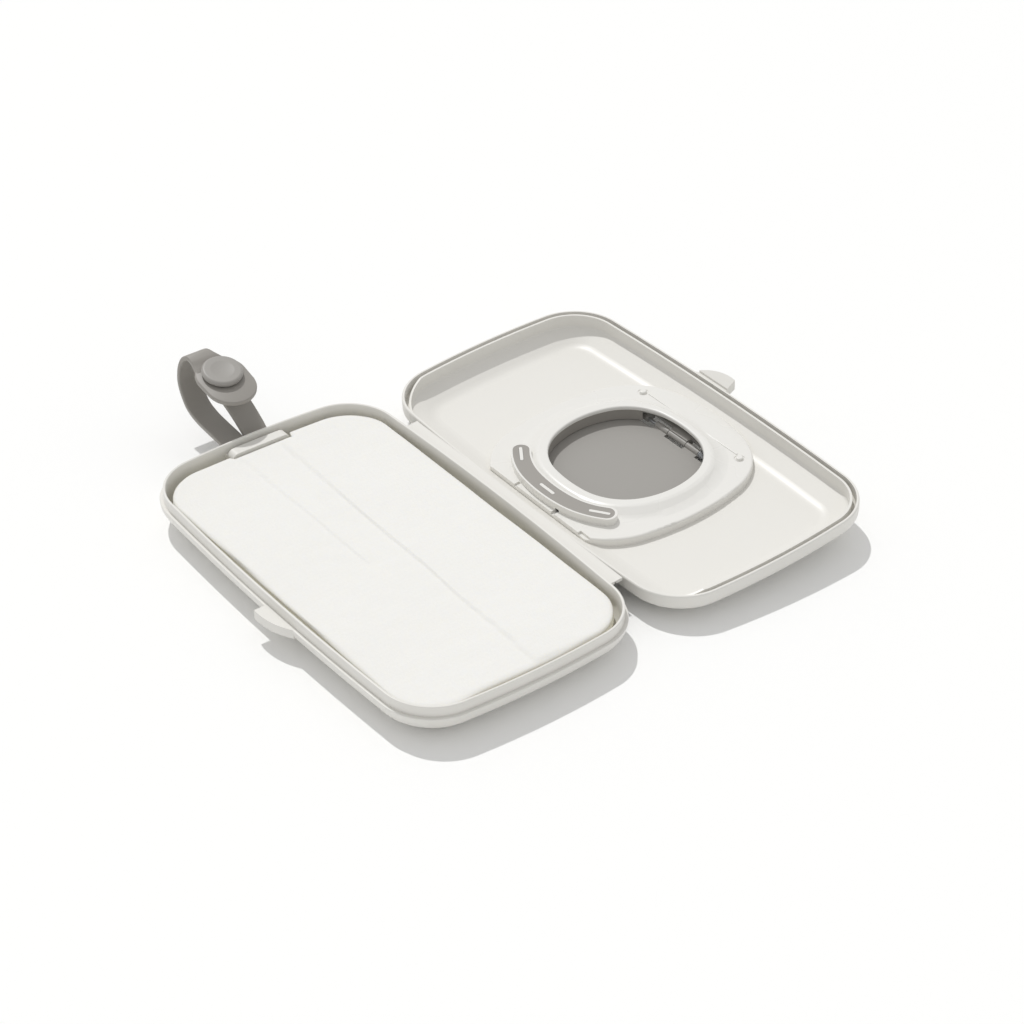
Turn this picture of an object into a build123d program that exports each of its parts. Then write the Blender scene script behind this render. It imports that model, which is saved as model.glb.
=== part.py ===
# Travel case for baby wipes, lying open on a table: a tray and a lid joined by a moulded
# living hinge, a flip lid over the dispensing window, and a silicone strap with a press stud.
# Millimetres. Origin: centre of the tray's underside, on the table. +X along the case, away
# from the strap. +Y from the tray to the lid. +Z up.
# Parts of the lid are drawn in the lid's own frame (hinge line at y = 0, rim plane at z = 0,
# inside of the lid facing +Z) and are then placed by place_lid.
import math
import os

from build123d import *

# ---- driving dimensions -------------------------------------------------------------------
case_length = 203.0        # tray and lid, outside, along X
case_width = 118.3         # tray or lid alone, outside, along Y
case_corner_r = 25.0       # plan corner radius, outside
side_bow_r = 1560.0        # plan radius of the long sides
end_bow_r = 395.0          # plan radius of the short sides
tray_height = 13.2         # underside of the tray to the parting plane
lid_depth = 13.0           # outer face of the lid to its rim plane
hinge_gap = 5.7            # between tray and lid at the middle of the hinge
wall = 1.8                 # general wall of tray and lid
tray_band = 4.4            # upright band below the tray's rim
lid_band = 6.5             # upright band below the lid's rim
tray_slope = 1.35          # inward run of the belly for each unit of depth
lid_slope = 2.1
tray_knee_r = 8.6          # rounding under the tray's band
tray_foot_r = 8.6          # and along its foot
lid_knee_r = 3.0
lid_foot_r = 12.0
shoulder_r = 0.9           # outer edge of both rims
ledge = 1.5                # step outside the tray's spigot
spigot_wall = 1.2
spigot_height = 4.7
spigot_gap = 0.3           # spigot to groove, each side
lip_wall = 1.0             # inner lip of the lid's groove
groove_depth = 5.6
gasket_height = 0.5
lip_drop = 0.3             # lip below the rim plane
lip_relief_start = 9.0     # from the hinge line, the lip climbs from the groove's floor
lip_relief_end = 24.0      # to its full height
rim_gap = 0.1              # rim to ledge when closed
lid_tilt = 2.84            # degrees, the open lid leans on its flip lid

hinge_length = 140.0
hinge_leaf = 1.4           # thickness of the two leaves
web_width = 0.6
web_thickness = 0.35

tab_reach = 4.8            # finger tabs, out from the wall
tab_length = 20.0          # each half of the split tab, along X
tab_height = 4.2
tab_split = 0.6            # gap between the two halves
tab_offset = -1.0          # middle of the split, along X

window_half_x = 32.4       # dispensing window at the collar's edge
window_half_y = 31.2
window_corner_r = 25.7
window_side_r = 63.0
window_end_r = 40.3
window_centre = 62.9       # from the hinge line

plate_half_x = 49.6        # plate that closes the inside of the lid
plate_half_y = 53.4
plate_corner_r = 32.8
plate_side_r = 89.0
plate_end_r = 112.0
plate_centre = 60.4
plate_edge = 14.2          # straight edge beside the hinge, from the hinge line
plate_height = 3.7         # above the lid's floor
plate_wall = 1.4
collar_height = 2.7        # collar above the plate
collar_foot_half_x = 43.5  # where the collar's slope meets the plate
collar_foot_half_y = 39.0
collar_foot_corner_r = 34.5
collar_foot_side_r = 76.0
collar_foot_end_r = 52.0
collar_foot_shift = -2.6   # towards the hinge
collar_foot_r = 9.0        # rounding into the plate
collar_crown = 4.6
collar_crown_r = 3.6
collar_edge_r = 0.8
collar_lip = 1.7           # height of the upright edge under the crown
plate_edge_r = 1.0
plate_slots = ((11.0, 2.2, 3.6), (31.5, 7.0, 1.6), (-14.5, 1.6, 2.6))  # x, width, depth
slot_depth = 1.1
bead_line = 100.5          # raised line on the plate
bead_length = 58.6
rivet_x = 32.2
rivet_y = 99.4
rivet_head_r = 1.6
rivet_ring_r = 1.9
rivet_shank_r = 1.3
rivet_head = 0.9           # height of the head
rivet_sink = 0.6           # shank into the lid's floor
bead_half = 0.4            # half width and height of the raised line
bead_sink = 0.2

seal_gap = 0.4             # window seal, out from the window's edge
seal_wall = 2.0
seal_clear = 0.3           # seal to the flip lid
flip_flange = 5.5          # flip lid beyond the window's edge
flip_face = -12.2          # inner face of the flip lid, from the rim plane
flip_dome_r = 900.0
flip_gap = 0.3
flip_end = 89.2            # far edge of the flip lid's panel, from the hinge line
flip_axis_y = 92.5         # flip lid's pin
flip_axis_depth = 12.0     # pin below the rim plane
knuckle_r = 1.5
pin_r = 0.75
pin_clear = 0.05
knuckle_gap = 0.35
middle_knuckle = 11.3
flip_knuckle = 8.2
ear_x = 21.4               # outer ear, middle of its thickness
ear_width = 3.0
pin_length = 45.0
hinge_block_half = 23.2
pocket_end = 96.6          # far edge of the opening for the hinge, from the hinge line
block_seat = 3.0
block_thickness = 1.3
spring_wire = 0.5
spring_turns = 5
spring_r = 1.95            # coil radius at the wire's centre

button_offset = 11.6       # button's centre line, out from the window's edge
button_width = 6.6
button_angle = 44.0        # half angle seen from the window's centre
button_proud = 0.8
button_gap = 0.3
button_core = 4.2
block_wall = 0.8           # wall round the membrane
block_height = 3.5
membrane_thickness = 1.2
rib_length = 9.4
rib_width = 1.5
rib_gap = 0.12
rib_angle = 34.0           # how far the outer ribs are turned

strap_width = 11.0
strap_thickness = 2.2
strap_split = 0.6          # between the two legs at the wall
strap_z = 10.4             # where the legs leave the wall
slot_gap = 0.15
loop_reach = 143.4         # how far the loop stands out, from the tray's centre
loop_foot_z = 14.0
loop_top_z = 39.2
tab_slope = 12.0           # degrees, snap tab falls towards the case
stud_x = -122.1            # press stud's axis where it meets the tab's middle plane
tab_hinge_x = -134.5       # where the tab bends
tab_pad_r = 11.5
tab_tip_r = 11.0
tab_tip = 7.0
socket_pad_r = 10.0
pad_gap = 0.3
root_depth = 3.6           # root block inside the wall
root_width = 26.0
root_height = 3.4
root_setback = 1.1         # root to the inside of the wall
cap_wall = 1.4
cap_gap = 0.15
cap_top = 15.7             # top of the cap over the root

stud_cap_r = 9.0
stud_cap_height = 2.4
stud_neck_r = 4.6
stud_neck = 0.9
stud_post_r = 2.4
stud_post_sink = 0.05      # post into the head under the tab
stud_head_r = 2.9
stud_head_height = 1.5
socket_r = 5.2
socket_gap = 0.6
dish_r = 5.2
dish_depth = 0.35

wipes_length = 191.0
wipes_width = 106.0
wipes_height = 13.3
wipes_bed = 0.3            # below the stack
wipes_corner_r = 21.0      # inside the lid's lip at the corners when shut
wipes_foot_inset = 9.5     # narrower at the tray's floor
wipes_foot_height = 7.4
top_wipe_thickness = 1.6
top_wipe_inset = 2.0

# ---- worked out from the above ------------------------------------------------------------
spigot_half_x = case_length / 2 - ledge
spigot_half_y = case_width / 2 - ledge
spigot_corner = case_corner_r - ledge
hinge_y = case_width / 2 + hinge_gap / 2
lid_centre = hinge_y                       # centre of the lid, from the hinge line
lid_floor = wall - lid_depth               # inner face of the lid, in the lid's frame
plate_top = lid_floor + plate_height
collar_top = plate_top + collar_height
collar_under = collar_top - collar_lip
block_top = plate_top + block_height
axis_z = -flip_axis_depth
lean = math.radians(lid_tilt)


def corner_centre(half_x, half_y, corner, side_r, end_r):
    # centre of the corner arc that runs smoothly into both side arcs
    side_c = Vector(0, half_y - side_r)
    end_c = Vector(half_x - end_r, 0)
    r1 = side_r - corner
    r2 = end_r - corner
    between = end_c - side_c
    d = between.length
    along = between.normalized()
    across = Vector(-along.Y, along.X)
    a = (d * d + r1 * r1 - r2 * r2) / (2 * d)
    h = math.sqrt(r1 * r1 - a * a)
    return max((side_c + along * a + across * h, side_c + along * a - across * h),
               key=lambda p: p.X + p.Y)


def bowed_face(half_x, half_y, corner, side_r, end_r, grow=0.0):
    # rounded rectangle whose four sides are shallow arcs; grow offsets it exactly
    side_c = Vector(0, half_y - side_r)
    end_c = Vector(half_x - end_r, 0)
    corner_c = corner_centre(half_x, half_y, corner, side_r, end_r)
    top = side_c + (corner_c - side_c).normalized() * (side_r + grow)
    end = end_c + (corner_c - end_c).normalized() * (end_r + grow)
    mid = corner_c + ((top + end) / 2 - corner_c).normalized() * (corner + grow)
    edges = []
    for sx, sy in ((1, 1), (1, -1), (-1, -1), (-1, 1)):
        edges.append(ThreePointArc((sx * top.X, sy * top.Y), (sx * mid.X, sy * mid.Y),
                                   (sx * end.X, sy * end.Y)))
    for s in (1, -1):
        edges.append(ThreePointArc((-top.X, s * top.Y), (0, s * (half_y + grow)),
                                   (top.X, s * top.Y)))
        edges.append(ThreePointArc((s * end.X, -end.Y), (s * (half_x + grow), 0),
                                   (s * end.X, end.Y)))
    return make_face(edges)


def case_face(grow=0.0):
    return bowed_face(spigot_half_x, spigot_half_y, spigot_corner, side_bow_r, end_bow_r, grow)


def window_face(grow=0.0):
    face = bowed_face(window_half_x, window_half_y, window_corner_r, window_side_r,
                      window_end_r, grow)
    return Pos(0, window_centre) * face


def plate_face(grow=0.0):
    face = bowed_face(plate_half_x, plate_half_y, plate_corner_r, plate_side_r,
                      plate_end_r, grow)
    return Pos(0, plate_centre) * face


def slab(face, low, high):
    return extrude(Pos(0, 0, low) * face, high - low)


def box(x, y, z):
    # box from three (low, high) pairs
    size = [b - a for a, b in (x, y, z)]
    centre = [(a + b) / 2 for a, b in (x, y, z)]
    return Pos(*centre) * Box(*size)


def cylinder_x(radius, low, high, y, z):
    return Pos((low + high) / 2, y, z) * (Rot(0, 90, 0) * Cylinder(radius, high - low))


def edges_at(solid, z, tolerance=0.01):
    return [e for e in solid.edges()
            if abs(e.bounding_box().min.Z - z) < tolerance
            and abs(e.bounding_box().max.Z - z) < tolerance]


def place_lid(shape):
    return Pos(0, hinge_y, tray_height) * (Rot(lid_tilt, 0, 0) * shape)


def bellied(grow, low, knee, top, slope, knee_r, foot_r):
    # upright band above the knee, sloping belly below it, both corners rounded
    body = slab(case_face(grow), knee, top)
    foot = case_face(grow - (knee - low) * slope)
    body += loft([Pos(0, 0, low) * foot, Pos(0, 0, knee) * case_face(grow)], ruled=True)
    body = fillet(edges_at(body, knee), knee_r)
    return fillet(edges_at(body, low), foot_r)


def hollow(grow, low, knee, top, slope, knee_r, foot_r):
    # the space one wall inside a bellied body whose outer surface starts at (low, knee)
    slant = wall * math.sqrt(1 + slope ** 2)
    knee_in = knee - (ledge - grow - slant) / slope
    return bellied(grow, low + wall, knee_in, top, slope, knee_r - wall, foot_r - wall)


def half_tab(side, low, high):
    # half of a lens in plan, square at the split and running out into the wall
    start = tab_offset + side * tab_split / 2
    far = start + side * tab_length
    y0 = -case_width / 2
    curve = ThreePointArc((start, y0 - tab_reach), (start + side * tab_length * 0.6,
                          y0 - tab_reach * 0.72), (far, y0 + 0.4))
    back = Polyline((far, y0 + 0.4), (far, y0 + 1.4), (start, y0 + 1.4), (start, y0 - tab_reach))
    return slab(make_face([curve, *back.edges()]), low, high)


def strap_path(points, radii):
    return FilletPolyline(*[(x, 0, z) for x, z in points], radius=radii)


def band_along(path, y, width, thickness):
    start = path @ 0
    plane = Plane(origin=start, x_dir=(0, 1, 0), z_dir=path % 0)
    return Pos(0, y, 0) * sweep(plane * Rectangle(width, thickness), path)


def tab_frame(x):
    # plane on the snap tab's middle surface: local x runs down the tab, z out of its face
    slope = math.radians(tab_slope)
    z = loop_top_z - (x + loop_reach) * math.tan(slope)
    return Plane(origin=(x, 0, z), x_dir=(math.cos(slope), 0, -math.sin(slope)),
                 z_dir=(math.sin(slope), 0, math.cos(slope)))


# ---- tray ---------------------------------------------------------------------------------
def strap_slot(z_low, z_high, x_low, x_high):
    half = strap_width + strap_split / 2 + slot_gap
    return box((x_low, x_high), (-half, half), (z_low, z_high))


def tray_space():
    return hollow(-spigot_wall, 0, tray_height - tray_band, tray_height + spigot_height + 1,
                  tray_slope, tray_knee_r, tray_foot_r)


def base_tray():
    tray = bellied(ledge, 0, tray_height - tray_band, tray_height, tray_slope, tray_knee_r,
                   tray_foot_r)
    tray = fillet(edges_at(tray, tray_height), shoulder_r * 0.5)
    tray += slab(case_face(), tray_height - 1, tray_height + spigot_height)
    tray -= tray_space()
    top_edges = edges_at(tray, tray_height + spigot_height)
    tray = fillet(top_edges, spigot_wall * 0.4)
    leaf = box((-hinge_length / 2, hinge_length / 2), (spigot_half_y + ledge / 2,
               hinge_y - web_width / 2), (tray_height - hinge_leaf, tray_height))
    tray += leaf
    tray += half_tab(1, tray_height - tab_height, tray_height)
    thickness = strap_thickness + 2 * slot_gap
    tray -= strap_slot(strap_z - thickness / 2, strap_z + thickness / 2,
                       -case_length / 2 - 5, -spigot_half_x + spigot_wall + 6)
    return tray


# ---- strap --------------------------------------------------------------------------------
def pad_disc(frame, radius, low, high):
    return frame * (Pos(0, 0, (low + high) / 2) * Cylinder(radius, high - low))


wall_x = -(spigot_half_x - spigot_wall)      # inner face of the tray's strap wall
root_x = wall_x + root_setback
root_low = strap_z - strap_thickness / 2
leg_y = (strap_width + strap_split) / 2
under_tab = strap_thickness + pad_gap        # pad's middle below the tab's middle


def tab_line(x, drop=0.0):
    point = tab_frame(x).origin
    return (x, point.Z - drop / math.cos(math.radians(tab_slope)))


def strap_band():
    outside = -case_length / 2
    loop = strap_path([(root_x, strap_z), (outside - 3, strap_z),
                       (-loop_reach + 5, loop_foot_z), (-loop_reach - 0.5, 29.5),
                       tab_line(-loop_reach + 3.6), tab_line(tab_hinge_x - 0.15)],
                      [20, 12, 14, 3.8])
    short = strap_path([(root_x, strap_z), (outside - 4.5, strap_z),
                        tab_line(stud_x + 8.5, under_tab), tab_line(stud_x, under_tab)],
                       [4.0, 4.5])
    band = band_along(loop, -leg_y, strap_width, strap_thickness)
    band += band_along(short, leg_y, strap_width, strap_thickness)
    frame = tab_frame(stud_x)
    band += pad_disc(frame, socket_pad_r, -under_tab - strap_thickness / 2,
                     -under_tab + strap_thickness / 2)
    band += box((root_x, root_x + root_depth), (-root_width / 2, root_width / 2),
                (root_low, root_low + root_height))
    band -= pad_disc(frame, socket_r, -under_tab - strap_thickness, 0)
    return band


def strap_anchor_cap():
    # rounded block over the root; its back follows the wall, with a slot for the lid's lip
    half = root_width / 2 + cap_gap
    x1 = root_x + root_depth + cap_gap
    cap = box((wall_x - 3, x1 + cap_wall), (-half - cap_wall, half + cap_wall),
              (root_low - cap_gap - cap_wall, cap_top))
    cap = fillet(cap.edges().filter_by(Axis.X).group_by(Axis.Z)[-1], 3.0)
    cap -= box((wall_x - 4, x1), (-half, half), (root_low - cap_gap,
               root_low + root_height + cap_gap))
    cap &= tray_space()
    lip_slot = slab(case_face(), tray_height, cap_top + 1)
    return cap - (lip_slot - slab(case_face(lip_in - spigot_gap), tray_height, cap_top + 1))


def strap_tab():
    frame = tab_frame(stud_x)
    half = strap_thickness / 2
    pad = pad_disc(frame, tab_pad_r, -half, half)
    tip = frame * (Pos(tab_tip, 0, 0) * Cylinder(tab_tip_r, strap_thickness))
    reach = (stud_x - tab_hinge_x) / math.cos(math.radians(tab_slope))
    outline = Polyline((-reach + 0.15, -leg_y - strap_width / 2), (0, -tab_pad_r),
                       (tab_tip, -tab_tip_r), (tab_tip, tab_tip_r), (0, tab_pad_r),
                       (-reach + 0.15, -leg_y + strap_width / 2), close=True)
    web = frame * (Pos(0, 0, -half) * extrude(make_face(outline), strap_thickness))
    tab = pad + tip + web
    return tab - pad_disc(frame, stud_post_r + 0.05, -strap_thickness, strap_thickness)


def snap_cap():
    frame = tab_frame(stud_x)
    top = strap_thickness / 2
    disc = Cylinder(stud_cap_r, stud_cap_height)
    disc = fillet(disc.edges().group_by(Axis.Z)[-1], stud_cap_height * 0.55)
    disc = fillet(disc.edges().group_by(Axis.Z)[0], stud_cap_height * 0.25)
    cap = Pos(0, 0, top + stud_neck + stud_cap_height / 2) * disc
    dish_ball = (dish_r ** 2 + dish_depth ** 2) / (2 * dish_depth)
    cap -= Pos(0, 0, top + stud_neck + stud_cap_height + dish_ball - dish_depth) * \
        Sphere(dish_ball)
    cap += Pos(0, 0, top + stud_neck / 2) * Cylinder(stud_neck_r, stud_neck)
    post_low = -top - stud_post_sink
    post_high = top + stud_neck / 2
    cap += Pos(0, 0, (post_low + post_high) / 2) * Cylinder(stud_post_r, post_high - post_low)
    return frame * cap


def snap_stud():
    frame = tab_frame(stud_x)
    base = -strap_thickness / 2
    head = Pos(0, 0, base - stud_head_height / 2) * Cylinder(stud_head_r, stud_head_height)
    head = fillet(head.edges().group_by(Axis.Z)[0], 0.5)
    return frame * (head - Pos(0, 0, base) * Cylinder(stud_post_r, 1.4))


def snap_socket():
    frame = tab_frame(stud_x)
    low = -under_tab - strap_thickness / 2
    high = -under_tab + strap_thickness / 2
    ring = pad_disc(frame, socket_r, low, high)
    return ring - pad_disc(frame, stud_head_r + socket_gap, low + 0.5, high + 1)


# ---- wipes --------------------------------------------------------------------------------
def wipes_face(inset):
    return RectangleRounded(wipes_length - 2 * inset, wipes_width - 2 * inset,
                            wipes_corner_r - inset)


def cap_room():
    half = root_width / 2 + cap_gap + cap_wall + 1
    x1 = root_x + root_depth + cap_gap + cap_wall + 0.5
    return box((-case_length, x1), (-half, half), (0, cap_top + 5))


def wipes_stack():
    low = wall + wipes_bed
    shoulder = low + wipes_foot_height
    high = low + wipes_height - top_wipe_thickness
    foot = Pos(0, 0, low) * wipes_face(wipes_foot_inset)
    stack = loft([foot, Pos(0, 0, shoulder) * wipes_face(0)], ruled=True)
    stack += slab(wipes_face(0), shoulder, high)
    return stack - cap_room()


def wipe_top():
    high = wall + wipes_bed + wipes_height
    return slab(wipes_face(top_wipe_inset), high - top_wipe_thickness, high) - cap_room()


# ---- hinge --------------------------------------------------------------------------------
def hinge_web():
    return box((-hinge_length / 2, hinge_length / 2),
               (hinge_y - web_width / 2, hinge_y + web_width / 2),
               (tray_height - web_thickness, tray_height))


# ---- lid ----------------------------------------------------------------------------------
groove_out = spigot_gap
groove_in = -spigot_wall - spigot_gap
lip_in = groove_in - lip_wall


def to_lid(face):
    return Pos(0, lid_centre) * face


def crescent(width, angle, low, high):
    # block beside the window, concentric with it, with rounded ends
    ring = window_face(button_offset + width / 2) - window_face(button_offset - width / 2)
    reach = window_half_y * 3
    spread = reach * math.tan(math.radians(angle))
    wedge = Pos(0, window_centre) * make_face(Polyline((0, 0), (-spread, -reach),
                                                       (spread, -reach), close=True))
    solid = slab(ring & wedge, low, high)
    ends = [e for e in solid.edges().filter_by(Axis.Z)
            if abs(e.center().X) > window_half_x * 0.7]
    return fillet(ends, width * 0.47)


def ribs(grow, low, high):
    # three pads on the crescent's centre line: one in the middle, one round each corner
    corner_c = corner_centre(window_half_x, window_half_y, window_corner_r, window_side_r,
                             window_end_r)
    reach = window_corner_r + button_offset
    x = corner_c.X + reach * math.sin(math.radians(rib_angle))
    y = window_centre - corner_c.Y - reach * math.cos(math.radians(rib_angle))
    middle = window_centre - window_half_y - button_offset
    slot = SlotOverall(rib_length + 2 * grow, rib_width + 2 * grow)
    group = slab(Pos(0, middle) * slot, low, high)
    for side in (1, -1):
        group += slab(Pos(side * x, y) * (Rot(0, 0, side * rib_angle) * slot), low, high)
    return group


def lid_space():
    return to_lid(hollow(lip_in, -lid_depth, -lid_band, 1, lid_slope, lid_knee_r, lid_foot_r))


def lip_relief():
    # the lip is lower beside the hinge, where the tray's spigot swings in over it
    deep = groove_depth - gasket_height
    section = Polyline((-1, -deep), (lip_relief_start, -deep), (lip_relief_end, -lip_drop),
                       (lip_relief_end, 2), (-1, 2), close=True)
    side = make_face(Plane.YZ * section)
    wedge = Pos(-case_length / 2, 0, 0) * extrude(side, case_length, dir=(1, 0, 0))
    return wedge & to_lid(slab(case_face(groove_in + 0.01), -lid_depth, 2))


def lid_shell():
    shell = bellied(ledge, -lid_depth, -lid_band, 0, lid_slope, lid_knee_r, lid_foot_r)
    shell = to_lid(fillet(edges_at(shell, 0), shoulder_r)) - lid_space()
    groove = slab(case_face(groove_out), -groove_depth, 1)
    shell -= to_lid(groove - slab(case_face(groove_in), -groove_depth, 1))
    shell -= to_lid(slab(case_face(groove_in + 0.01), -lip_drop, 1))
    shell -= lip_relief()
    shell -= box((-case_length, case_length), (-5, case_width * 2), (-rim_gap, 1))
    leaf = box((-hinge_length / 2, hinge_length / 2), (web_width / 2,
               lid_centre - spigot_half_y - ledge / 2), (-hinge_leaf, 0))
    shell += leaf
    shell += lid_tab()
    shell -= slab(window_face(seal_gap + seal_wall), -lid_depth - 1, lid_floor + 1)
    shell -= crescent(button_width + 2 * button_gap, button_angle + 0.6, -lid_depth - 1,
                      lid_floor + 1)
    shell -= box((-hinge_block_half, hinge_block_half), (flip_axis_y - 2, pocket_end),
                 (-lid_depth - 1, lid_floor + 1))
    for s in (1, -1):
        shell -= Pos(s * rivet_x, rivet_y, lid_floor) * Cylinder(rivet_shank_r, 2 * rivet_sink)
    return shell


def lid_tab():
    y0 = lid_centre + case_width / 2
    plan = Pos(0, lid_centre, 0) * (Rot(0, 0, 180) * half_tab(1, -tab_height, tab_height))
    plan = Pos(2 * tab_offset, 0, 0) * plan
    section = Polyline((y0 - 1.0, -tab_height), (y0 + tab_reach + 0.2, -tab_height * 0.3),
                       (y0 + tab_reach + 0.2, tab_height - 0.5), (y0 + 0.45, 0.9),
                       (y0 + 0.45, -rim_gap), (y0 - 1.0, -rim_gap), close=True)
    side = make_face(Plane.YZ * section)
    wedge = Pos(-case_length / 2, 0, 0) * extrude(side, case_length, dir=(1, 0, 0))
    return plan & wedge


def hinge_block():
    # bar on the lid's floor beside the window, with the fixed knuckles under it
    block = box((-hinge_block_half, hinge_block_half), (pocket_end - 1.2, pocket_end + block_seat),
                (lid_floor, lid_floor + block_thickness))
    for half, x in ((middle_knuckle / 2, 0), (ear_width / 2, ear_x), (ear_width / 2, -ear_x)):
        block += cylinder_x(knuckle_r, x - half, x + half, flip_axis_y, axis_z)
        block += box((x - half, x + half), (flip_axis_y, pocket_end - 0.4),
                     (axis_z - knuckle_r + 0.4, lid_floor + block_thickness))
    return block - cylinder_x(pin_r, -pin_length, pin_length, flip_axis_y, axis_z)


def rim_gasket():
    ring = slab(case_face(groove_out), -groove_depth, -groove_depth + gasket_height)
    ring -= slab(case_face(groove_in), -groove_depth, -groove_depth + gasket_height)
    return to_lid(ring)


def plate_and_collar():
    body = slab(plate_face(), lid_floor, plate_top)
    body = fillet(edges_at(body, plate_top), plate_edge_r)
    foot = bowed_face(collar_foot_half_x, collar_foot_half_y, collar_foot_corner_r,
                      collar_foot_side_r, collar_foot_end_r)
    crown = Pos(0, 0, collar_top) * window_face(collar_crown)
    collar = loft([Pos(0, window_centre + collar_foot_shift, plate_top - 0.5) * foot, crown],
                  ruled=True)
    collar = fillet(edges_at(collar, collar_top), collar_crown_r)
    body += collar
    inside = edges_at(body, plate_top)
    foot_edges = [e for e in inside if abs(e.center().Y - plate_centre) < collar_foot_half_y
                  and abs(e.center().X) < collar_foot_half_x]
    body = fillet(foot_edges, collar_foot_r)
    body -= slab(window_face(), lid_floor - 1, collar_top + 1)
    return fillet(edges_at(body, collar_top), collar_edge_r)


def inner_plate():
    body = plate_and_collar()
    body -= box((-case_length, case_length), (-case_width, plate_edge), (-lid_depth, 5))
    body += crescent(button_width + 2 * (block_wall + button_gap), button_angle + 2.2, plate_top - 1,
                     block_top)
    space = slab(plate_face(-plate_wall), lid_floor, plate_top - plate_wall)
    space -= box((-case_length, case_length), (-case_width, plate_edge + plate_wall),
                 (-lid_depth, 5))
    body -= space
    seal_wall_r = seal_gap + seal_wall
    body -= slab(window_face(seal_wall_r), lid_floor, collar_under)
    body += slab(window_face(seal_wall_r + plate_wall), plate_top - plate_wall,
                 collar_under) - slab(window_face(seal_wall_r), lid_floor, 0)
    body -= crescent(button_width + 2 * button_gap, button_angle + 0.8, lid_floor - 1, block_top + 1)
    for x, width, depth in plate_slots:
        body -= box((x - width / 2, x + width / 2), (0, plate_edge + depth),
                    (plate_top - slot_depth, plate_top + 1))
    for s in (1, -1):
        body -= Pos(s * rivet_x, rivet_y, plate_top) * Cylinder(rivet_shank_r, 12)
        ring = Cylinder(rivet_ring_r + 0.5, 0.5) - Cylinder(rivet_ring_r, 0.5)
        body -= Pos(s * rivet_x, rivet_y, plate_top) * ring
    bead = box((-bead_length / 2, bead_length / 2), (bead_line - bead_half, bead_line + bead_half),
               (plate_top - bead_sink, plate_top + bead_half))
    body += fillet(bead.edges().group_by(Axis.Z)[-1], bead_half / 2)
    return body & lid_space()


def plate_rivets():
    group = None
    for s in (1, -1):
        head = Cylinder(rivet_head_r, rivet_head)
        head = fillet(head.edges().group_by(Axis.Z)[-1], rivet_head * 0.66)
        rivet = Pos(s * rivet_x, rivet_y, plate_top + rivet_head / 2) * head
        shank_low = lid_floor - rivet_sink
        rivet += Pos(s * rivet_x, rivet_y, (shank_low + plate_top) / 2) * Cylinder(
            rivet_shank_r, plate_top - shank_low)
        group = rivet if group is None else group + rivet
    return group


def button_membrane():
    high = block_top - 0.05
    sheet = crescent(button_width + 2 * button_gap, button_angle + 0.8, high - membrane_thickness, high)
    return sheet - ribs(rib_gap, high - 5, high + 1)


def release_button():
    low = -lid_depth - button_proud
    body = crescent(button_width, button_angle, low, low + button_core)
    body = fillet(edges_at(body, low), 0.6)
    return body + ribs(0, low + button_core - 0.1, block_top)


def window_seal():
    low = flip_face + seal_clear
    ring = slab(window_face(seal_gap + seal_wall), low, collar_under)
    ring -= slab(window_face(seal_gap), low - 1, collar_under + 1)
    gap = ear_x + ear_width
    return ring - box((-gap, gap), (flip_axis_y - 3, case_width), (-lid_depth - 2, 0))


# ---- flip lid -----------------------------------------------------------------------------
def dome_depth():
    # how far the dome's middle stands below the rim plane for the lid to rest on the table
    half = window_half_y + flip_flange
    touch = min(flip_dome_r * math.sin(lean), half)
    y = window_centre - touch
    return (tray_height + y * math.sin(lean)) / math.cos(lean) + touch ** 2 / (2 * flip_dome_r)


def flip_lid():
    deep = dome_depth()
    lid = slab(window_face(flip_flange), -deep - 2, -lid_depth - flip_gap)
    lid += slab(window_face(seal_gap + seal_wall - flip_gap), -lid_depth - flip_gap,
                flip_face)
    lid &= Pos(0, window_centre, flip_dome_r - deep) * Sphere(flip_dome_r)
    lid -= box((-case_length, case_length), (flip_end, case_width * 2), (-50, 5))
    for s in (1, -1):
        x0 = s * (middle_knuckle / 2 + knuckle_gap)
        x1 = x0 + s * flip_knuckle
        low, high = min(x0, x1), max(x0, x1)
        lid += cylinder_x(knuckle_r, low, high, flip_axis_y, axis_z)
        lid += box((low, high), (flip_end - 4, flip_axis_y), (flip_face - 1.4, flip_face))
    lid -= cylinder_x(pin_r + pin_clear, -pin_length, pin_length, flip_axis_y, axis_z)
    return lid


def flip_pin():
    return cylinder_x(pin_r, -pin_length / 2, pin_length / 2, flip_axis_y, axis_z)


def flip_spring():
    low = middle_knuckle / 2 + knuckle_gap + flip_knuckle + 0.5
    pitch = spring_wire * 1.5
    height = spring_turns * pitch
    coil = Helix(pitch, height, spring_r)
    start = Plane(origin=coil @ 0, z_dir=coil % 0)
    wire = sweep(start * Circle(spring_wire / 2), coil, is_frenet=True)
    wire = Rot(0, 90, 0) * wire
    return Pos(low, flip_axis_y, axis_z) * wire


tray_parts = {
    "base_tray": base_tray,
    "strap_band": strap_band,
    "strap_anchor_cap": strap_anchor_cap,
    "strap_tab": strap_tab,
    "snap_cap": snap_cap,
    "snap_stud": snap_stud,
    "snap_socket": snap_socket,
    "wipes_stack": wipes_stack,
    "wipe_top": wipe_top,
    "hinge_web": hinge_web,
}
lid_parts = {
    "lid_shell": lid_shell,
    "rim_gasket": rim_gasket,
    "inner_plate": inner_plate,
    "plate_rivets": plate_rivets,
    "button_membrane": button_membrane,
    "release_button": release_button,
    "window_seal": window_seal,
    "hinge_block": hinge_block,
    "flip_lid": flip_lid,
    "flip_pin": flip_pin,
    "flip_spring": flip_spring,
}

os.makedirs("parts", exist_ok=True)
for name, make in tray_parts.items():
    export_step(make(), f"parts/{name}.step")
for name, make in lid_parts.items():
    export_step(place_lid(make()), f"parts/{name}.step")
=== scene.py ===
import bmesh
import bpy
import math
from mathutils import Matrix, Vector, noise


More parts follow.
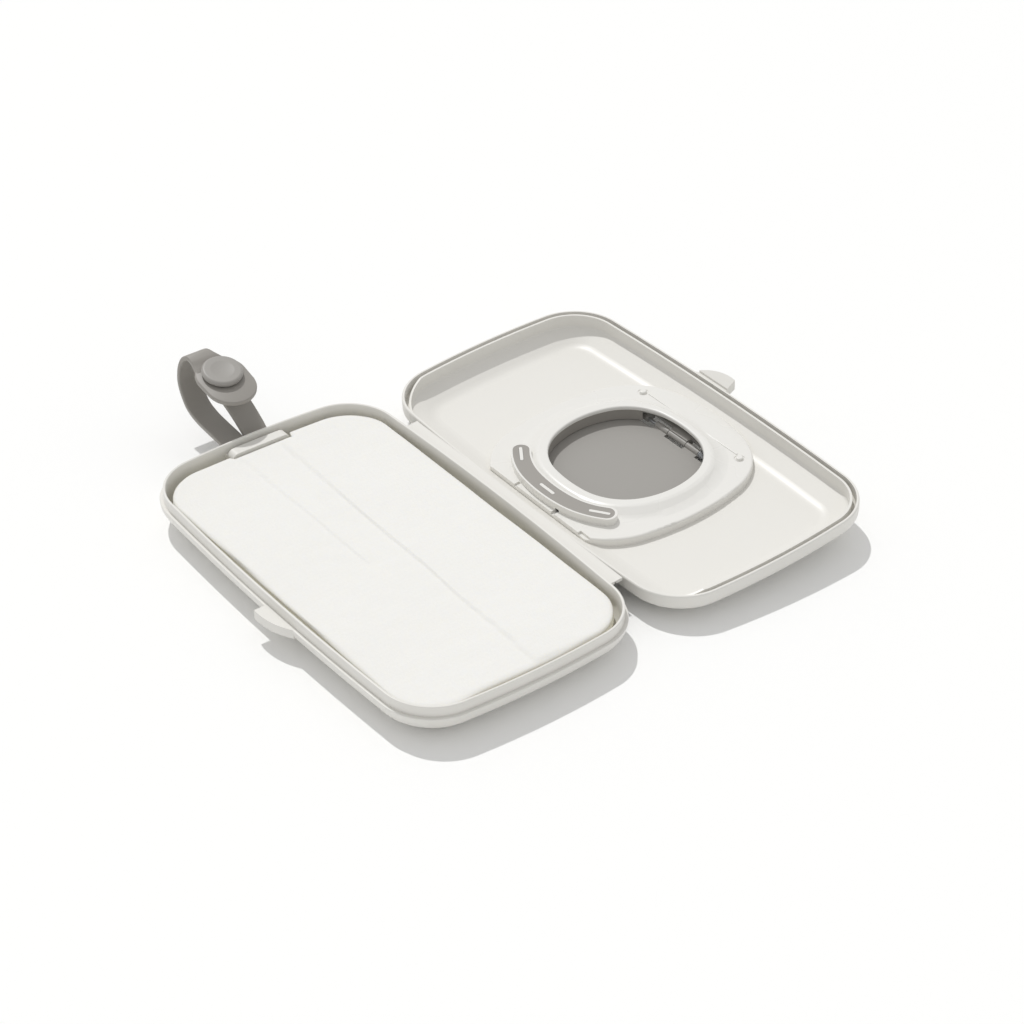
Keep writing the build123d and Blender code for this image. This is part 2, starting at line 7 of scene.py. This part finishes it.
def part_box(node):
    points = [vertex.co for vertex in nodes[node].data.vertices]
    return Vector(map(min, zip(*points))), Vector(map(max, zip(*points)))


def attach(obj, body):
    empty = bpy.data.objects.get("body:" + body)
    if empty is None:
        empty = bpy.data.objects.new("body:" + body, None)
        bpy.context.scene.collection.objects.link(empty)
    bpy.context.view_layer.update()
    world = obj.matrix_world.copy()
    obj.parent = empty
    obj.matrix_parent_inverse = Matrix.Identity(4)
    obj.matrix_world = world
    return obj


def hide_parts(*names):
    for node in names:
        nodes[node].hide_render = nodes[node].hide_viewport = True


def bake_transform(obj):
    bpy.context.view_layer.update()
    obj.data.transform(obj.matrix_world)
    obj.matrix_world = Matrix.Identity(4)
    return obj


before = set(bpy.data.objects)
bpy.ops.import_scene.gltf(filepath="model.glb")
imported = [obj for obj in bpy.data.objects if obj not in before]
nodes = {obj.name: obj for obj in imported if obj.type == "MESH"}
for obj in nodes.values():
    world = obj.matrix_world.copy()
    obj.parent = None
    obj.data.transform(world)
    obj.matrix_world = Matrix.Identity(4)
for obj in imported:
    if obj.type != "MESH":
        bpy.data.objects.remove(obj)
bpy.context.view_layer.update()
mm = 0.001

print("camera, floor and light")

cameraSpec = {
    "azimuth": 52.006,      # degrees round from looking along +Y
    "elevation": 35.835,
    "roll": 0.744,
    "lens": 95.058,         # mm on a 36 mm sensor
    "place": (0.7228, -0.5009, 0.6684),
}


def makeCamera(spec):
    az, el = math.radians(spec["azimuth"]), math.radians(spec["elevation"])
    back = Vector((math.sin(az) * math.cos(el), -math.cos(az) * math.cos(el), math.sin(el)))
    right = Vector((math.cos(az), math.sin(az), 0))
    up = back.cross(right)
    turn = Matrix((right, up, back)).transposed()
    turn = turn @ Matrix.Rotation(math.radians(spec["roll"]), 3, "Z")
    data = bpy.data.cameras.new("camera")
    data.lens = spec["lens"]
    data.sensor_width = 36
    camera = bpy.data.objects.new("camera", data)
    camera.matrix_world = Matrix.Translation(spec["place"]) @ turn.to_4x4()
    bpy.context.scene.collection.objects.link(camera)
    bpy.context.scene.camera = camera


def makeFloor():
    mesh = bpy.data.meshes.new("floor")
    reach = 14.0
    mesh.from_pydata([(-reach, -reach, 0), (reach, -reach, 0), (reach, reach, 0), (-reach, reach, 0)],
                     [], [(0, 1, 2, 3)])
    floor = bpy.data.objects.new("floor", mesh)
    bpy.context.scene.collection.objects.link(floor)
    return floor


lightSpec = {
    "toSun": (-0.63, 0.12, 1.0),
    "sunStrength": 1.55,
    "sunSpread": 1.2,       # degrees, a bare studio lamp far away
    "skyStrength": 0.62,
}


def makeLight(spec):
    data = bpy.data.lights.new("keyLamp", "SUN")
    data.energy = spec["sunStrength"]
    data.angle = math.radians(spec["sunSpread"])
    lamp = bpy.data.objects.new("keyLamp", data)
    lamp.rotation_mode = "QUATERNION"
    lamp.rotation_quaternion = Vector(spec["toSun"]).to_track_quat("Z", "Y")
    bpy.context.scene.collection.objects.link(lamp)
    world = bpy.data.worlds.new("studio")
    bpy.context.scene.world = world
    world.use_nodes = True
    world.node_tree.nodes["Background"].inputs["Color"].default_value = (1, 1, 1, 1)
    world.node_tree.nodes["Background"].inputs["Strength"].default_value = spec["skyStrength"]


makeCamera(cameraSpec)
floor = makeFloor()
makeLight(lightSpec)
bpy.context.scene.view_settings.view_transform = "Standard"

print("materials")


def linear(code):
    out = []
    for k in (0, 2, 4):
        c = int(code[k:k + 2], 16) / 255
        out.append(c / 12.92 if c <= 0.04045 else ((c + 0.055) / 1.055) ** 2.4)
    return (*out, 1)


def add(tree, kind, settings=None, links=None):
    node = tree.nodes.new(kind)
    for name, value in (settings or {}).items():
        if isinstance(name, str) and hasattr(node, name):
            setattr(node, name, value)
        else:
            node.inputs[name].default_value = value
    for name, source in (links or {}).items():
        tree.links.new(source, node.inputs[name])
    return node


def newMaterial(name):
    material = bpy.data.materials.new(name)
    material.use_nodes = True
    tree = material.node_tree
    tree.nodes.clear()
    shader = tree.nodes.new("ShaderNodeBsdfPrincipled")
    out = tree.nodes.new("ShaderNodeOutputMaterial")
    tree.links.new(shader.outputs[0], out.inputs[0])
    place = tree.nodes.new("ShaderNodeTexCoord").outputs["Object"]
    return material, tree, shader, place


def mouldedPlastic(name, light, dark, roughness, grainMm, grainDepthMm, subsurface=0.0):
    # satin moulding: a very fine spark-eroded grain, a slow unevenness in tone and in gloss
    material, tree, shader, place = newMaterial(name)
    grain = add(tree, "ShaderNodeTexNoise", {"Scale": 1 / (grainMm * mm), "Detail": 3.0},
                {"Vector": place})
    cloud = add(tree, "ShaderNodeTexNoise", {"Scale": 1 / (38 * mm), "Detail": 2.0},
                {"Vector": place})
    tone = add(tree, "ShaderNodeMix", {"data_type": "RGBA"})
    tone.inputs["A"].default_value = linear(light)
    tone.inputs["B"].default_value = linear(dark)
    tree.links.new(cloud.outputs["Fac"], tone.inputs["Factor"])
    tree.links.new(tone.outputs["Result"], shader.inputs["Base Color"])
    gloss = add(tree, "ShaderNodeMapRange", {"From Min": 0.3, "From Max": 0.7,
                                             "To Min": roughness - 0.04,
                                             "To Max": roughness + 0.05},
                {"Value": cloud.outputs["Fac"]})
    tree.links.new(gloss.outputs["Result"], shader.inputs["Roughness"])
    bump = add(tree, "ShaderNodeBump", {"Strength": 0.5, "Distance": grainDepthMm * mm},
               {"Height": grain.outputs["Fac"]})
    tree.links.new(bump.outputs["Normal"], shader.inputs["Normal"])
    shader.inputs["IOR"].default_value = 1.49
    if subsurface:
        shader.inputs["Subsurface Weight"].default_value = subsurface
        shader.inputs["Subsurface Radius"].default_value = (1.0, 0.95, 0.85)
        shader.inputs["Subsurface Scale"].default_value = 1.2 * mm
    return material


whitePolypropylene = mouldedPlastic("whitePolypropylene", "e9e7e2", "e4e2dc", 0.36, 0.22, 0.008)
whiteAbs = mouldedPlastic("whiteAbs", "ecebe7", "e7e5e0", 0.27, 0.35, 0.004)
whiteSilicone = mouldedPlastic("whiteSilicone", "e0ddd6", "dad7d0", 0.5, 0.2, 0.01)
grayAbs = mouldedPlastic("grayAbs", "9f9c97", "9a9792", 0.42, 0.25, 0.01)
graySilicone = mouldedPlastic("graySilicone", "9d9993", "95918b", 0.5, 0.18, 0.012)
grayStudNylon = mouldedPlastic("grayStudNylon", "a29f9a", "9c9994", 0.45, 0.25, 0.01)


def stainlessSteel():
    # drawn wire: fine lines along it, bright with soft edges
    material, tree, shader, place = newMaterial("stainlessSteel")
    lines = add(tree, "ShaderNodeTexNoise", {"Scale": 1 / (0.1 * mm), "Detail": 2.0}, {"Vector": place})
    bump = add(tree, "ShaderNodeBump", {"Strength": 0.3, "Distance": 0.004 * mm},
               {"Height": lines.outputs["Fac"]})
    tree.links.new(bump.outputs["Normal"], shader.inputs["Normal"])
    shader.inputs["Base Color"].default_value = linear("c4c6c8")
    shader.inputs["Metallic"].default_value = 1.0
    shader.inputs["Roughness"].default_value = 0.28
    return material


steel = stainlessSteel()


def nonwoven():
    # spunlace viscose: short crossing fibres, a row of faint hydro-jet lines, damp and soft
    material, tree, shader, place = newMaterial("nonwovenWipe")
    fibres = add(tree, "ShaderNodeTexNoise", {"Scale": 1 / (0.9 * mm), "Detail": 5.0,
                                              "Roughness": 0.62}, {"Vector": place})
    jets = add(tree, "ShaderNodeTexWave", {"Scale": 1 / (9.0 * mm), "Distortion": 1.5,
                                           "Detail": 2.0, "Detail Scale": 2.0}, {"Vector": place})
    heap = add(tree, "ShaderNodeMath", {"operation": "MULTIPLY_ADD", 1: 0.25},
               {0: jets.outputs["Fac"], 2: fibres.outputs["Fac"]})
    bump = add(tree, "ShaderNodeBump", {"Strength": 0.55, "Distance": 0.12 * mm},
               {"Height": heap.outputs[0]})
    tree.links.new(bump.outputs["Normal"], shader.inputs["Normal"])
    tone = add(tree, "ShaderNodeMix", {"data_type": "RGBA"})
    tone.inputs["A"].default_value = linear("ebeae6")
    tone.inputs["B"].default_value = linear("f3f2ee")
    tree.links.new(fibres.outputs["Fac"], tone.inputs["Factor"])
    # painted shade: the cloth is mixed towards a darker, warmer tone (ece7cf) lower in the stack, deep
    # in the tray where its walls shade it
    depth = add(tree, "ShaderNodeSeparateXYZ", {}, {"Vector": place})
    deep = add(tree, "ShaderNodeMapRange", {"From Min": 14.6 * mm, "From Max": 11.0 * mm,
                                            "To Min": 0.0, "To Max": 1.0},
               {"Value": depth.outputs["Z"]})
    paintedLowShade = add(tree, "ShaderNodeMix", {"data_type": "RGBA"})
    paintedLowShade.inputs["B"].default_value = linear("ece7cf")
    tree.links.new(tone.outputs["Result"], paintedLowShade.inputs["A"])
    tree.links.new(deep.outputs["Result"], paintedLowShade.inputs["Factor"])
    tree.links.new(paintedLowShade.outputs["Result"], shader.inputs["Base Color"])
    shader.inputs["Roughness"].default_value = 0.9
    shader.inputs["Sheen Weight"].default_value = 0.15
    shader.inputs["Sheen Roughness"].default_value = 0.6
    shader.inputs["Subsurface Weight"].default_value = 0.25
    shader.inputs["Subsurface Radius"].default_value = (1.0, 0.95, 0.8)
    shader.inputs["Subsurface Scale"].default_value = 1.5 * mm
    return material


wipeCloth = nonwoven()


def paperFloor():
    material, tree, shader, place = newMaterial("paleFloor")
    shader.inputs["Base Color"].default_value = linear("fbfbfa")
    shader.inputs["Roughness"].default_value = 0.85
    return material


floor.data.materials.append(paperFloor())

nodeMaterials = {
    "base_tray": whitePolypropylene, "lid_shell": whitePolypropylene,
    "hinge_web": whitePolypropylene, "strap_anchor_cap": whitePolypropylene,
    "inner_plate": whiteAbs, "plate_rivets": whiteAbs, "window_seal": graySilicone,
    "release_button": whiteAbs, "rim_gasket": whiteSilicone, "hinge_block": grayAbs,
    "button_membrane": graySilicone, "flip_lid": grayAbs, "flip_pin": steel,
    "flip_spring": steel, "strap_band": graySilicone, "strap_tab": graySilicone,
    "snap_cap": grayStudNylon, "snap_stud": grayStudNylon, "snap_socket": grayStudNylon,
    "wipes_stack": wipeCloth, "wipe_top": wipeCloth,
}
for name, material in nodeMaterials.items():
    data = nodes[name].data
    data.materials.clear()
    data.materials.append(material)


def smoothStep(low, high, value):
    # 0 below low, 1 above high, smooth between
    t = min(max((value - low) / (high - low), 0.0), 1.0)
    return t * t * (3 - 2 * t)


def closedSkin(name, rings, material):
    # a closed quad skin through equal rings of points, capped at both ends by a fan
    mesh = bpy.data.meshes.new(name)
    work = bmesh.new()
    grid = [[work.verts.new(p) for p in ring] for ring in rings]
    count = len(rings[0])
    for lower, upper in zip(grid, grid[1:]):
        for k in range(count):
            n = (k + 1) % count
            work.faces.new((lower[k], lower[n], upper[n], upper[k]))
    for ring, flip in ((grid[0], True), (grid[-1], False)):
        middle = work.verts.new(sum((v.co for v in ring), Vector()) / count)
        for k in range(count):
            n = (k + 1) % count
            work.faces.new((ring[n], ring[k], middle) if flip else (ring[k], ring[n], middle))
    bmesh.ops.recalc_face_normals(work, faces=work.faces)
    work.to_mesh(mesh)
    work.free()
    mesh.polygons.foreach_set("use_smooth", [True] * len(mesh.polygons))
    obj = bpy.data.objects.new(name, mesh)
    bpy.context.scene.collection.objects.link(obj)
    mesh.materials.append(material)
    return obj


print("wipes")

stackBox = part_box("wipes_stack")
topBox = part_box("wipe_top")
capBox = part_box("strap_anchor_cap")

wipesSpec = {
    "cornerMm": 21.0,      # the shut lid clears this corner
    "footInsetMm": 8.5,
    "layers": 7,
    "ringsPerLayer": 6,
    "layerDepthMm": 0.55,   # how far each folded edge stands out
    "raggedMm": 0.7,
    "endRaggedMm": 2.4,     # how unevenly the fold ends stop at the two short ends
    "shoulderMm": 0.3,
    "topRings": 84,
    "folds": (              # places on the top, X and Y in mm; the cloth steps up beside each
        {"from": (-86.9, 7.7), "to": (88.6, 4.2), "stepMm": 0.8, "fadeMm": 26},
        {"from": (-87.4, -11.8), "to": (-3.2, -11.3), "stepMm": 0.45, "fadeMm": 9},
    ),
    "around": 420,
    "bossSlackMm": 1.2,
}


def roundedOutline(halfX, halfY, corner, count):
    # evenly spaced points round a rounded rectangle, from the middle of the +X side
    straightX, straightY = halfX - corner, halfY - corner
    arc = math.pi / 2 * corner
    lengths = [straightY, arc, 2 * straightX, arc, 2 * straightY, arc, 2 * straightX, arc,
               straightY]
    total = sum(lengths)
    points = []
    for k in range(count):
        d = total * k / count
        for part, length in enumerate(lengths):
            if d <= length:
                break
            d -= length
        if part in (0, 4, 8):
            x = halfX if part != 4 else -halfX
            y = {0: d, 4: straightY - d, 8: d - straightY}[part]
        elif part in (2, 6):
            y = halfY if part == 2 else -halfY
            x = straightX - d if part == 2 else d - straightX
        else:
            step = (part - 1) // 2
            a = math.pi / 2 * step + d / corner
            cx = straightX * (1 if step in (0, 3) else -1)
            cy = straightY * (1 if step in (0, 1) else -1)
            x, y = cx + corner * math.cos(a), cy + corner * math.sin(a)
        points.append((x, y))
    return points


def topHeight(x, y, spec):
    # the top wipe: folds as small steps that fade out, and slow waves of damp cloth
    rise = 0
    for fold in spec["folds"]:
        a, b = Vector(fold["from"]) * mm, Vector(fold["to"]) * mm
        along = (b - a).normalized()
        offset = Vector((x, y)) - a
        share = offset.dot(along) / (b - a).length
        across = along.x * offset.y - along.y * offset.x
        across += noise.noise(Vector((share * 6, fold["stepMm"], 2.2))) * 0.5 * mm
        ends = smoothStep(-0.12, 0.04, share) * (1 - smoothStep(0.96, 1.12, share))
        fade = 1 - smoothStep(1 * mm, fold["fadeMm"] * mm, across)
        step = smoothStep(-0.35 * mm, 0.35 * mm, across) * fade
        rise += fold["stepMm"] * mm * step * ends
    slow = noise.noise(Vector((x * 28, y * 34, 0.3))) * 0.4 * mm
    fine = noise.noise(Vector((x * 150, y * 110, 4.1))) * 0.1 * mm
    return rise + slow + fine


def makeWipes(spec):
    halfX = (stackBox[1][0] - stackBox[0][0]) / 2
    halfY = (stackBox[1][1] - stackBox[0][1]) / 2
    centreX = (stackBox[1][0] + stackBox[0][0]) / 2
    low, high = stackBox[0][2], topBox[1][2] - 0.9 * mm
    outline = roundedOutline(halfX, halfY, spec["cornerMm"] * mm, spec["around"])
    bossX = capBox[1][0] + spec["bossSlackMm"] * mm
    bossY = capBox[1][1] + spec["bossSlackMm"] * mm

    def clearOfBoss(x, y):
        # the stack parts round the strap's block in the tray's end wall
        near = 1 - smoothStep(bossY - 1 * mm, bossY + 4 * mm, abs(y))
        if near > 0:
            x = max(x, bossX - (1 - near))
        return x, y

    rings = []
    steps = spec["layers"] * spec["ringsPerLayer"]
    for step in range(steps + 1):
        t = step / steps
        z = low + (high - low) * t
        bead = math.sin(math.pi * ((t * spec["layers"]) % 1.0))
        inset = spec["footInsetMm"] * mm * (1 - smoothStep(0.0, 0.62, t))
        ring = []
        for x, y in outline:
            ragged = noise.noise(Vector((x * 45, y * 45, int(t * spec["layers"]) * 3.7)))
            shrink = inset + spec["layerDepthMm"] * mm * (1 - bead) \
                + spec["raggedMm"] * mm * (0.5 + 0.5 * ragged)
            scaleX = (halfX - shrink) / halfX
            scaleY = (halfY - shrink) / halfY
            layer = int(min(t, 0.999) * spec["layers"])
            uneven = 0.5 + 0.5 * noise.noise(Vector((y * 26, layer * 5.1, 7.7 + (x > 0))))
            back = spec["endRaggedMm"] * mm * uneven * smoothStep(0.78, 0.94, abs(x) / halfX)
            px, py = clearOfBoss(x * scaleX + centreX - math.copysign(back, x), y * scaleY)
            ring.append(Vector((px, py, z)))
        rings.append(ring)
    edge = rings[-1]
    for count in range(1, spec["topRings"]):
        inward = 1 - count / spec["topRings"]
        ring = []
        for p in edge:
            x, y = centreX + (p.x - centreX) * inward, p.y * inward
            soft = min((1 - inward) / 0.02, 1.0)
            ring.append(Vector((x, y, high + spec["shoulderMm"] * mm * math.sqrt(soft)
                                + topHeight(x, y, spec) * soft)))
        rings.append(ring)
    stack = closedSkin("foldedWipes", rings, wipeCloth)
    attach(stack, "case")
    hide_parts("wipes_stack", "wipe_top")
    return stack


makeWipes(wipesSpec)

print("strap")

strapSpec = {
    "thickMm": 2.2,
    "edgeMm": 0.55,         # rounding of the strap's edges
    # outer surface of the long leg and its loop: X, Z, middle in Y, width
    "loopMm": ((-97.6, 9.3, -5.8, 11), (-102.5, 9.4, -5.8, 11), (-109.1, 10.8, -5.9, 11),
               (-118.2, 11.6, -6.0, 11), (-127.2, 12.7, -6.0, 11), (-134.6, 15.2, -5.8, 11),
               (-139.7, 20.2, -5.4, 11), (-142.6, 25.2, -4.9, 11), (-143.3, 30.2, -4.3, 11),
               (-142.6, 34.3, -3.8, 11), (-140.4, 38.2, -3.4, 11), (-136.8, 40.6, -3.0, 11.2),
               (-133.2, 40.0, -2.2, 12.4), (-130.2, 38.3, -1.1, 15), (-127.0, 36.8, -0.4, 18)),
    # outer surface of the short leg, which ends under the tab
    "shortMm": ((-97.6, 9.3, 5.6, 11.4), (-102.5, 9.5, 5.6, 11.4), (-106.3, 10.9, 5.5, 11.4),
                (-109.6, 14.0, 5.2, 11.6), (-114.4, 19.6, 4.0, 11.8), (-118.6, 25.0, 2.4, 12),
                (-121.0, 29.0, 1.2, 12), (-122.4, 31.2, 0.6, 12)),
    "tabRadiusMm": 11.5,
    "tipRadiusMm": 11.3,
    "tipMm": 7.0,           # tip's centre beyond the stud's axis
    "padRadiusMm": 10.0,
    "padThickMm": 1.9,
    "padEdgeMm": 0.5,
    "padGapMm": 0.3,        # between the snap tab and the pad under it
    "slope": 12,            # degrees, the snap tab falls towards the case
    "bendStart": (-0.142, 0, 0.029),
    "bendEnd": (-0.1365, 0, 0.0415),
}


def smoothLine(points, count):
    # evenly spaced points on a Catmull-Rom curve through the given ones
    dense = []
    last = len(points) - 1
    for k in range(last):
        p0, p1, p2, p3 = (points[min(max(k + d, 0), last)] for d in (-1, 0, 1, 2))
        for step in range(24):
            t = step / 24
            dense.append(0.5 * (2 * p1 + (p2 - p0) * t + (2 * p0 - 5 * p1 + 4 * p2 - p3) * t ** 2
                                + (3 * p1 - p0 - 3 * p2 + p3) * t ** 3))
    dense.append(points[-1].copy())
    return [dense[round(k * (len(dense) - 1) / (count - 1))] for k in range(count)]


def strapSection(width, spec):
    # the strap's cut face as (across, through), with rounded edges
    edge = spec["edgeMm"]
    points = []
    for cx, cy, start in ((1, 1, 0), (-1, 1, 90), (-1, -1, 180), (1, -1, 270)):
        for step in range(5):
            a = math.radians(start + 90 * step / 4)
            points.append((cx * (width / 2 - edge) + edge * math.cos(a),
                           cy * (spec["thickMm"] / 2 - edge) + edge * math.sin(a)))
    return points


def strapAlong(name, stations, spec, count):
    line = smoothLine([Vector(p) for p in stations], count)
    rings = []
    for k, p in enumerate(line):
        a, b = line[max(k - 1, 0)], line[min(k + 1, len(line) - 1)]
        ahead = Vector((b.x - a.x, 0, b.y - a.y)).normalized()
        inward = Vector((0, 1, 0)).cross(ahead)
        middle = Vector((p.x, p.z, p.y)) + inward * spec["thickMm"] / 2
        rings.append([(middle + Vector((0, x, 0)) + inward * t) * mm
                      for x, t in strapSection(p.w, spec)])
    piece = closedSkin(name, rings, graySilicone)
    return piece


def discRings(centre, down, normal, outline, half, edge):
    # a flat pad with rounded edges: outline(inset) gives its points (down the tab, across)
    rings = []
    for side, level in ((-1, 0), (-1, 1), (-1, 2), (1, 2), (1, 1), (1, 0)):
        a = math.radians(45 * level)
        inset = edge * (1 - math.sin(a))
        height = side * (half - edge + edge * math.cos(a))
        rings.append([(centre + down * u + Vector((0, v, 0)) + normal * height) * mm
                      for u, v in outline(inset)])
    return rings


def tabOutline(spec):
    def outline(inset):
        points = []
        for start, u0, radius in ((90, 0, spec["tabRadiusMm"]),
                                  (-90, spec["tipMm"], spec["tipRadiusMm"])):
            for step in range(37):
                a = math.radians(start + 180 * step / 36)
                points.append((u0 + (radius - inset) * math.cos(a),
                               (radius - inset) * math.sin(a)))
        return points
    return outline


def roundOutline(radius):
    def outline(inset):
        return [((radius - inset) * math.cos(math.tau * k / 72),
                 (radius - inset) * math.sin(math.tau * k / 72)) for k in range(72)]
    return outline


def makeStrap(spec):
    slope = math.radians(spec["slope"])
    normal = Vector((math.sin(slope), 0, math.cos(slope)))
    down = Vector((math.cos(slope), 0, -math.sin(slope)))
    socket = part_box("snap_socket")
    padMiddle = (socket[0] + socket[1]) / 2 / mm
    tabMiddle = padMiddle + normal * (spec["thickMm"] + spec["padGapMm"])

    loop = strapAlong("strapLoop", spec["loopMm"], spec, 150)
    short = strapAlong("strapShortLeg", spec["shortMm"], spec, 70)
    pad = closedSkin("strapSocketPad", discRings(
        padMiddle, down, normal, roundOutline(spec["padRadiusMm"]), spec["padThickMm"] / 2,
        spec["padEdgeMm"]),
        graySilicone)
    tab = closedSkin("strapTab", discRings(
        tabMiddle, down, normal, tabOutline(spec), spec["thickMm"] / 2, spec["edgeMm"]),
        graySilicone)
    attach(short, "case")
    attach(pad, "case")
    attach(tab, "tab")
    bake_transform(loop)
    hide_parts("strap_band")
    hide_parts("strap_tab")


makeStrap(strapSpec)

print("done")
